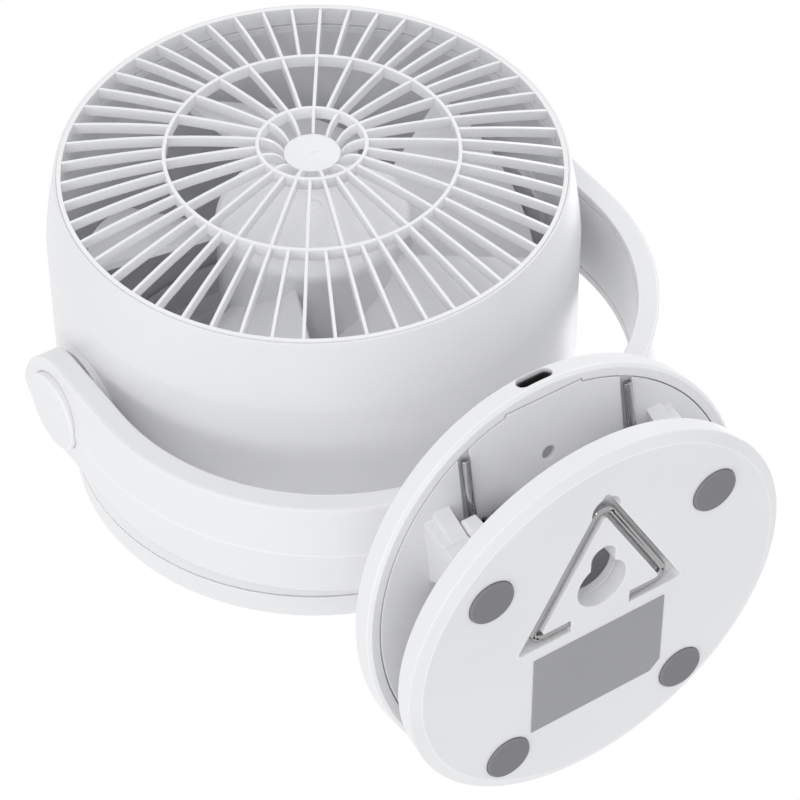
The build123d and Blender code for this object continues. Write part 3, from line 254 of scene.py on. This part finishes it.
# %% Group for moulded surfaces
grain_share = 0.35
mixed_low, mixed_high = 0.4, 0.95
mould = bpy.data.node_groups.new("mould_surface", "ShaderNodeTree")
surface_inputs = {"Grain": 2600.0, "Cloud": 26.0, "Rough low": 0.3, "Rough high": 0.4, "Edge": 0.0003}
for name, start in surface_inputs.items():
    mould.interface.new_socket(name, in_out="INPUT", socket_type="NodeSocketFloat").default_value = start
for name in ("Tone", "Roughness", "Height", "Edges"):
    mould.interface.new_socket(name, in_out="OUTPUT", socket_type="NodeSocketFloat")
mould.interface.new_socket("Normal", in_out="OUTPUT", socket_type="NodeSocketVector")
given = add_node(mould, "NodeGroupInput")
result = add_node(mould, "NodeGroupOutput")
place = add_node(mould, "ShaderNodeTexCoord")
grain = add_node(mould, "ShaderNodeTexNoise", Detail=2.0, Roughness=0.6)
cloud = add_node(mould, "ShaderNodeTexNoise", Detail=3.0, Roughness=0.55)
for noise, scale in ((grain, "Grain"), (cloud, "Cloud")):
    join(mould, place, "Object", noise, "Vector")
    join(mould, given, scale, noise, "Scale")
mixed = add_node(mould, "ShaderNodeMath")
mixed.operation = "MULTIPLY_ADD"
mixed.inputs[1].default_value = grain_share
join(mould, grain, 0, mixed, 0)
join(mould, cloud, 0, mixed, 2)
rough = add_node(mould, "ShaderNodeMapRange", From_Min=mixed_low, From_Max=mixed_high)
join(mould, mixed, 0, rough, "Value")
join(mould, given, "Rough low", rough, "To Min")
join(mould, given, "Rough high", rough, "To Max")
join(mould, mixed, 0, result, "Tone")
join(mould, rough, "Result", result, "Roughness")
join(mould, grain, 0, result, "Height")
print(mould.name, "takes", ", ".join(surface_inputs))

# %% [markdown]
# ## Edges
# Moulded edges are slightly round. The edges could be rounded in the mesh, but the solids
# are kept as they are packed, so a Bevel node softens the normal instead. Where that normal leaves the face's own, by
# the cosine between them, there is an edge, and the group gives it out as a mask. Each finish paints a highlight
# there: a lighter base colour along the edges.

# %% Softened edges in the same group
flat_cosine, edge_cosine = 0.9992, 0.9955
rounding = add_node(mould, "ShaderNodeBevel")
rounding.samples = 6
join(mould, given, "Edge", rounding, "Radius")
facing = add_node(mould, "ShaderNodeNewGeometry")
turned = add_node(mould, "ShaderNodeVectorMath")
turned.operation = "DOT_PRODUCT"
join(mould, rounding, "Normal", turned, 0)
join(mould, facing, "Normal", turned, 1)
edges = add_node(mould, "ShaderNodeMapRange", From_Min=flat_cosine, From_Max=edge_cosine)
join(mould, turned, "Value", edges, "Value")
join(mould, edges, "Result", result, "Edges")
join(mould, rounding, "Normal", result, "Normal")
print(mould.name, "gives", ", ".join(socket.name for socket in result.inputs if socket.name))

# %% [markdown]
# ## A finish for moulded pieces
# Each moulded piece gets its own material, with the group placed in it and its own tints. One material with many
# switches would be harder to read. The shader stays in the material itself, where the export can find it.

# %% Finish for moulded pieces
tone_low, tone_high = 0.35, 1.0
bump_strength = 0.35
# Painted highlight: along the edges the base colour is made lighter, by this gain and up to this limit.
edge_highlight_gain, edge_highlight_limit = 1.12, 0.99


def moulded(name, light, dark, rough_range, grain_scale=2600.0, grain_depth=0.00001, edge=0.0003, **sockets):
    """A moulded finish whose colour wanders between two near tints, with a painted highlight, a lighter colour, along
    the edges.
    """
    finish = bpy.data.materials.new(name)
    finish.use_nodes = True
    tree = finish.node_tree
    shader = tree.nodes["Principled BSDF"]
    for socket, value in sockets.items():
        shader.inputs[socket.replace("_", " ")].default_value = value
    surface = add_node(tree, "ShaderNodeGroup")
    surface.node_tree = mould
    surface.inputs["Grain"].default_value = grain_scale
    surface.inputs["Rough low"].default_value = rough_range[0]
    surface.inputs["Rough high"].default_value = rough_range[1]
    surface.inputs["Edge"].default_value = edge
    tint = two_tints(tree, dark, light, tone_low, tone_high)
    join(tree, surface, "Tone", tint, "Fac")
    join(tree, surface, "Roughness", shader, "Roughness")
    bump = add_node(tree, "ShaderNodeBump", Strength=bump_strength, Distance=grain_depth)
    join(tree, surface, "Height", bump, "Height")
    join(tree, surface, "Normal", bump, "Normal")
    join(tree, bump, "Normal", shader, "Normal")
    # Painted highlight: the edge mask lightens the base colour along the edges.
    painted_edge_highlight = add_node(tree, "ShaderNodeMix")
    painted_edge_highlight.data_type = "RGBA"
    painted_edge_highlight.inputs["B"].default_value = (*[min(edge_highlight_limit, edge_highlight_gain * value) for value in light], 1)
    join(tree, surface, "Edges", painted_edge_highlight, "Factor")
    join(tree, tint, "Color", painted_edge_highlight, "A")
    join(tree, painted_edge_highlight, "Result", shader, "Base Color")
    return finish


def dress(finish, *names):
    for name in names:
        mesh = nodes[name].data
        mesh.materials.clear()
        mesh.materials.append(finish)
    print(finish.name, "on", ", ".join(names))


# %% [markdown]
# ## White pieces
# The discs, the drum, the yoke and the grille are all white, but not the same white: the drum is a
# little greyer, and the ribs of the grille a little brighter. Their wider edges get a larger radius. A thin clear
# skin over the large shells gives the soft shine of a polished mould. The underside panel of the upper disc takes the
# drum's greyer white as painted shade, for the shade between the two discs.

# %% Dress the white pieces
clear_skin = {"Coat_Weight": 0.25, "Coat_Roughness": 0.2}
shell_white = moulded("shell_white", (0.89, 0.89, 0.895), (0.85, 0.85, 0.86), (0.28, 0.4), edge=0.0006, **clear_skin)
dress(shell_white, "base_shell", "base_cover", "upper_shell")
drum_white_and_panel_shade = moulded("drum_white_and_panel_shade", (0.85, 0.85, 0.855), (0.81, 0.81, 0.82), (0.26, 0.36), edge=0.0005, **clear_skin)
# Painted shade: the clip panel, between the discs, takes this greyer white for the shade that falls there.
dress(drum_white_and_panel_shade, "drum_housing", "clip_panel")
yoke_white = moulded("yoke_white", (0.88, 0.88, 0.885), (0.85, 0.85, 0.86), (0.26, 0.36), edge=0.0009, **clear_skin)
dress(yoke_white, "yoke_arm", "yoke_cover", "pivot_cap_left", "pivot_cap_right", "speed_button", "rear_cover")
grille_white = moulded("grille_white", (0.94, 0.94, 0.945), (0.91, 0.91, 0.915), (0.24, 0.32), edge=0.0002)
dress(grille_white, "front_grille")
blade_white = moulded("impeller_white", (0.94, 0.94, 0.945), (0.90, 0.90, 0.905), (0.3, 0.45))
dress(blade_white, "impeller", "motor_stand")

# %% [markdown]
# ## Rubber, film and hidden plastics
# The feet and the jaw pads are matt rubber, which has a coarser texture than the shells, and the rating plate is a
# grey film. One rubber could do for both, but the feet are much darker than the pads. Board, cell and switch are
# hidden, and they get a finish too, because they are in the model.

# %% Dress the other plastics
rubber_grain = {"rough_range": (0.6, 0.8), "grain_scale": 900.0, "grain_depth": 0.00004}
foot_rubber = moulded("foot_rubber", (0.23, 0.23, 0.232), (0.19, 0.19, 0.192), **rubber_grain)
dress(foot_rubber, "rubber_feet")
pad_rubber = moulded("pad_rubber", (0.62, 0.62, 0.625), (0.54, 0.54, 0.545), **rubber_grain)
dress(pad_rubber, "lower_jaw_pad", "upper_jaw_pad")
label_film = moulded("label_film", (0.37, 0.37, 0.375), (0.33, 0.33, 0.335), (0.4, 0.55), grain_scale=1800.0)
dress(label_film, "label_plate")
washer_plastic = moulded("washer_plastic", (0.72, 0.72, 0.72), (0.64, 0.64, 0.64), (0.4, 0.6))
dress(washer_plastic, "pivot_washer_left", "pivot_washer_right")
switch_black = moulded("switch_black", (0.035, 0.035, 0.036), (0.02, 0.02, 0.021), (0.4, 0.6))
dress(switch_black, "button_switch", "usb_socket")
board_green = moulded("board_green", (0.03, 0.20, 0.08), (0.015, 0.13, 0.05), (0.3, 0.5), grain_scale=700.0)
dress(board_green, "circuit_board")
cell_wrap = moulded("cell_wrap", (0.07, 0.18, 0.42), (0.05, 0.13, 0.33), (0.25, 0.4))
dress(cell_wrap, "battery_pack")

# %% [markdown]
# ## Metals
# The hook and the springs are bright drawn wire. Screws, pins and the motor are plated steel. They share one recipe:
# a metallic shader whose roughness and tone follow a noise, soft on the wire and stretched into fine streaks on the
# other metals. Anisotropy would stretch the shine too, but it leaves the tone flat.

# %% Finish for metals
streak_low, streak_high = 0.3, 0.7
wire_grain = (60.0, 60.0, 60.0)
streaked_grain = (400.0, 4000.0, 4000.0)


def metal(name, light, dark, rough_range, grain_scale=streaked_grain):
    finish = bpy.data.materials.new(name)
    finish.use_nodes = True
    tree = finish.node_tree
    shader = tree.nodes["Principled BSDF"]
    shader.inputs["Metallic"].default_value = 1.0
    place = add_node(tree, "ShaderNodeTexCoord")
    stretch = add_node(tree, "ShaderNodeMapping", Scale=grain_scale)
    streaks = add_node(tree, "ShaderNodeTexNoise", Scale=1.0, Detail=3.0)
    join(tree, place, "Object", stretch, "Vector")
    join(tree, stretch, "Vector", streaks, "Vector")
    tint = two_tints(tree, dark, light, streak_low, streak_high)
    join(tree, streaks, 0, tint, "Fac")
    join(tree, tint, "Color", shader, "Base Color")
    rough = add_node(tree, "ShaderNodeMapRange", From_Min=streak_low, From_Max=streak_high)
    rough.inputs["To Min"].default_value, rough.inputs["To Max"].default_value = rough_range
    join(tree, streaks, 0, rough, "Value")
    join(tree, rough, "Result", shader, "Roughness")
    return finish


# %% Dress the metal pieces
bright_wire = metal("bright_wire", (0.42, 0.42, 0.425), (0.34, 0.34, 0.345), (0.04, 0.10), wire_grain)
dress(bright_wire, "hook_wire")
plated_steel = metal("plated_steel", (0.60, 0.60, 0.60), (0.48, 0.48, 0.48), (0.2, 0.35))
dress(plated_steel, "base_screws", "neck_screws", "stand_screws", "motor_screws", "motor_shaft", "motor_can")
for side in ("left", "right"):
    dress(plated_steel, "hinge_pin_" + side, "pivot_bolt_" + side, "pivot_nut_" + side)
iron_core = metal("iron_core", (0.14, 0.14, 0.15), (0.09, 0.09, 0.10), (0.5, 0.7))
dress(iron_core, "motor_magnets", "rotor_core")
bearing_brass = metal("bearing_brass", (0.72, 0.54, 0.26), (0.62, 0.45, 0.20), (0.25, 0.4))
dress(bearing_brass, "motor_bearings")

# %% [markdown]
# ## Helpers for new pieces
# The new pieces are all drawn from a ring of vertices. One helper extrudes a ring of edges along a straight line, one
# softens sharp rims, one turns the finished bmesh into an object, and one measures a piece against the CAD node that
# it replaces.

# %% Mesh helpers
sharp_angle = math.radians(40)


def run_straight(made, edges, step):
    """Extrude edges along a step, and give back the edges at the far end."""
    drawn = bmesh.ops.extrude_edge_only(made, edges=edges)["geom"]
    verts = [part for part in drawn if isinstance(part, bmesh.types.BMVert)]
    bmesh.ops.translate(made, verts=verts, vec=step)
    return [part for part in drawn if isinstance(part, bmesh.types.BMEdge) and part.is_boundary]


def soften(made, edges, width, segments):
    """Round edges off, and turn all faces outwards."""
    bmesh.ops.bevel(
        made,
        geom=edges,
        offset=width,
        segments=segments,
        profile=0.5,
        affect="EDGES",
        offset_type="OFFSET",
        material=-1,
    )
    bmesh.ops.recalc_face_normals(made, faces=made.faces)


def as_piece(made, name, finish):
    mesh = bpy.data.meshes.new(name)
    made.to_mesh(mesh)
    made.free()
    mesh.shade_smooth()
    mesh.set_sharp_from_angle(angle=sharp_angle)
    mesh.materials.append(finish)
    piece = bpy.data.objects.new(name, mesh)
    scene.collection.objects.link(piece)
    print(name, len(mesh.polygons), "faces")
    return piece


def measure(piece, node):
    cad_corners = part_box(node)
    places = [vert.co for vert in piece.data.vertices]
    corners = [[pick(place[axis] for place in places) for axis in range(3)] for pick in (min, max)]
    misses = [abs(a - b) for corner, cad in zip(corners, cad_corners) for a, b in zip(corner, cad)]
    print(piece.name, "keeps within", round(1000 * max(misses), 2), "mm of the box of", node)


# %% [markdown]
# ## Torsion springs
# Two wire springs sit on the hinge and push the discs apart at the front. Each has a leg on the lower disc, nearly
# four turns of wire, and a leg in a slot of the upper disc. A curve with a bevel would draw the wire too, but a
# ring of vertices that is extruded, spun and extruded again follows the way a spring winder works. The new springs
# take the place of the CAD ones, which are hidden.

# %% Wind the springs
joints = {joint["name"]: joint for joint in frame["record"]["behaviour"]["joints"]}
hinge = Vector(joints["clip_squeeze"]["pos_m"])
wire_radius = 0.00105
wire_sides = 20
wire_end_round = 0.0002
coil_radius = 0.0055
inner_x, outer_x = 0.0130, 0.0228
lower_leg, upper_leg = 0.0180, 0.0212
first_angle = math.radians(-88.5)
last_angle = math.radians(78.0) + 3 * math.tau
steps_per_turn = 40


def way_round(angle):
    """The way that the wire runs at an angle of the coil."""
    return Vector((0, -math.sin(angle), math.cos(angle)))


def wind_spring(name, side):
    wire = bmesh.new()
    swing = last_angle - first_angle
    steps = round(steps_per_turn * swing / math.tau)
    coil_start = Vector((side * inner_x, math.cos(first_angle) * coil_radius, math.sin(first_angle) * coil_radius))
    leg_start = hinge + coil_start - way_round(first_angle) * lower_leg
    turn = way_round(first_angle).to_track_quat("Z", "X").to_matrix().to_4x4()
    leg_place = Matrix.Translation(leg_start) @ turn
    bmesh.ops.create_circle(wire, segments=wire_sides, radius=wire_radius, matrix=leg_place)
    ring = run_straight(wire, wire.edges[:], way_round(first_angle) * lower_leg)
    climb = Vector((side * (outer_x - inner_x) / steps, 0, 0))
    wound = bmesh.ops.spin(wire, geom=ring, cent=hinge, axis=(1, 0, 0), dvec=climb, angle=swing, steps=steps)
    ring = [part for part in wound["geom_last"] if isinstance(part, bmesh.types.BMEdge)]
    run_straight(wire, ring, way_round(last_angle) * upper_leg)
    ends = bmesh.ops.holes_fill(wire, edges=[edge for edge in wire.edges if edge.is_boundary])["faces"]
    soften(wire, [edge for face in ends for edge in face.edges], wire_end_round, segments=2)
    return as_piece(wire, name, bright_wire)


for name, side in (("right", 1), ("left", -1)):
    spring = wind_spring("spring_" + name, side)
    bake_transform(spring)
    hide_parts("torsion_spring_" + name)
    measure(spring, "torsion_spring_" + name)

# %% [markdown]
# ## Screws
# The CAD screws are plain cylinders. Real ones have a cross in the head, cold-formed by a punch. A boolean cut would
# leave long thin faces, so the head starts as one flat disc: eight cuts across it mark the cross, and those faces
# are pushed down. The rim is then drawn out into the head's side and the shank.

# %% Make cross-head screws
head_sides = 48
arm_half_share, arm_reach_share = 0.16, 0.62
cross_depth_share, cross_floor_share = 0.55, 0.8
head_round_share = 0.3


def in_cross(face, arm_half, arm_reach):
    x, y, _ = (abs(value) for value in face.calc_center_median())
    return (x < arm_half and y < arm_reach) or (y < arm_half and x < arm_reach)


def punch_cross(screw, head_radius, depth):
    """Cut a flat disc across, and push the faces of the cross down."""
    arm_half, arm_reach = arm_half_share * head_radius, arm_reach_share * head_radius
    for way in (Vector((1, 0, 0)), Vector((0, 1, 0))):
        for reach in (-arm_reach, -arm_half, arm_half, arm_reach):
            whole = screw.verts[:] + screw.edges[:] + screw.faces[:]
            bmesh.ops.bisect_plane(screw, geom=whole, plane_co=way * reach, plane_no=way)
    cross = [face for face in screw.faces if in_cross(face, arm_half, arm_reach)]
    outline = [edge for edge in screw.edges if edge.is_boundary]
    pushed = bmesh.ops.extrude_face_region(screw, geom=cross)["geom"]
    floor_verts = [part for part in pushed if isinstance(part, bmesh.types.BMVert)]
    bmesh.ops.scale(screw, verts=floor_verts, vec=(cross_floor_share, cross_floor_share, 1))
    bmesh.ops.translate(screw, verts=floor_verts, vec=(0, 0, -depth))
    return outline


def cross_screw(head_radius, head_height, shank_radius, length):
    """One screw that points down, with the top of its head at zero."""
    screw = bmesh.new()
    bmesh.ops.create_circle(screw, cap_ends=True, segments=head_sides, radius=head_radius)
    outline = punch_cross(screw, head_radius, cross_depth_share * head_height)
    rim = run_straight(screw, outline, (0, 0, -head_height))
    neck = run_straight(screw, rim, (0, 0, 0))
    neck_verts = list({vert for edge in neck for vert in edge.verts})
    narrow = shank_radius / head_radius
    bmesh.ops.scale(screw, verts=neck_verts, vec=(narrow, narrow, 1))
    tail = run_straight(screw, neck, (0, 0, -length))
    bmesh.ops.holes_fill(screw, edges=tail)
    soften(screw, outline, head_round_share * head_height, segments=3)
    return screw


def set_of_screws(name, one, places):
    """Copies of one screw at several places, as one piece."""
    first = bpy.data.meshes.new(name)
    one.to_mesh(first)
    one.free()
    group = bmesh.new()
    for place in places:
        before = len(group.verts)
        group.from_mesh(first)
        group.verts.ensure_lookup_table()
        bmesh.ops.transform(group, matrix=place, verts=group.verts[before:])
    bpy.data.meshes.remove(first)
    return as_piece(group, name, plated_steel)


# %% [markdown]
# ## Screws at the back
# Four screws hold the vented cover to the drum, with their heads flush in the cover. Their places come from the box of
# the CAD screws, so they follow it.

# %% Screws in the rear cover
back_low, back_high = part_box("cover_screws")
back_head_radius = 0.0026
back_reach = back_high.x - back_head_radius
back_middle = (back_low.z + back_high.z) / 2
facing_back = Matrix.Rotation(math.radians(-90), 4, "X")
back_places = [
    Matrix.Translation((x, back_high.y, back_middle + z)) @ facing_back
    for x in (-back_reach, back_reach)
    for z in (-back_reach, back_reach)
]
back_screw = cross_screw(back_head_radius, head_height=0.0016, shank_radius=0.0014, length=0.0178)
back_screws = set_of_screws("back_screws", back_screw, back_places)
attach(back_screws, "head")
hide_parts("cover_screws")
measure(back_screws, "cover_screws")

# %% [markdown]
# ## Screws underneath
# Four smaller screws hold the underside of the upper disc. That disc leans by ten degrees at rest, so they are set in
# the disc's own frame and then leaned with it.

# %% Screws in the underside of the upper disc
tip_angle = math.radians(9.9986)
upper_disc = Matrix.Translation((0, 0.000317, 0.017306)) @ Matrix.Rotation(-tip_angle, 4, "X")
facing_down = Matrix.Rotation(math.pi, 4, "X")
under_places = [
    upper_disc @ Matrix.Translation((side * x, y, 0)) @ facing_down
    for x, y in ((0.0385, 0.00798), (0.0140, 0.0390))
    for side in (-1, 1)
]
under_screw = cross_screw(head_radius=0.0024, head_height=0.001, shank_radius=0.0011, length=0.0063)
under_screws = set_of_screws("under_screws", under_screw, under_places)
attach(under_screws, "clip")
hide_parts("panel_screws")
measure(under_screws, "panel_screws")

# %% [markdown]
# ## Plug
# The floor of the small hole in the underside of the upper disc lies in shade and looks grey. A plug sits a little
# way in as the hole's floor, and its grey is painted shade for the hole. A ring of vertices is drawn up into a short
# cylinder, closed, and softened at its rim.

# %% Plug in the small hole
plug_radius, plug_height = 0.00179, 0.0005
plug_y, plug_depth = -0.0340, 0.0010
plug_sides = 40
plug_round = 0.0002
plug_place = upper_disc @ Matrix.Translation((0, plug_y, plug_depth))
plug_shape = bmesh.new()
bmesh.ops.create_circle(plug_shape, cap_ends=True, segments=plug_sides, radius=plug_radius)
plug_rim = plug_shape.edges[:]
plug_top = run_straight(plug_shape, plug_rim, (0, 0, plug_height))
bmesh.ops.holes_fill(plug_shape, edges=plug_top)
soften(plug_shape, plug_rim, plug_round, segments=2)
bmesh.ops.transform(plug_shape, verts=plug_shape.verts, matrix=plug_place)
# Painted shade: this grey stands in for the shade inside the hole; the rubber texture gives only roughness and bumps.
plug_painted_shade = moulded("plug_painted_shade", (0.44, 0.44, 0.443), (0.38, 0.38, 0.383), **rubber_grain)
hole_plug = as_piece(plug_shape, "hole_plug", plug_painted_shade)
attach(hole_plug, "clip")
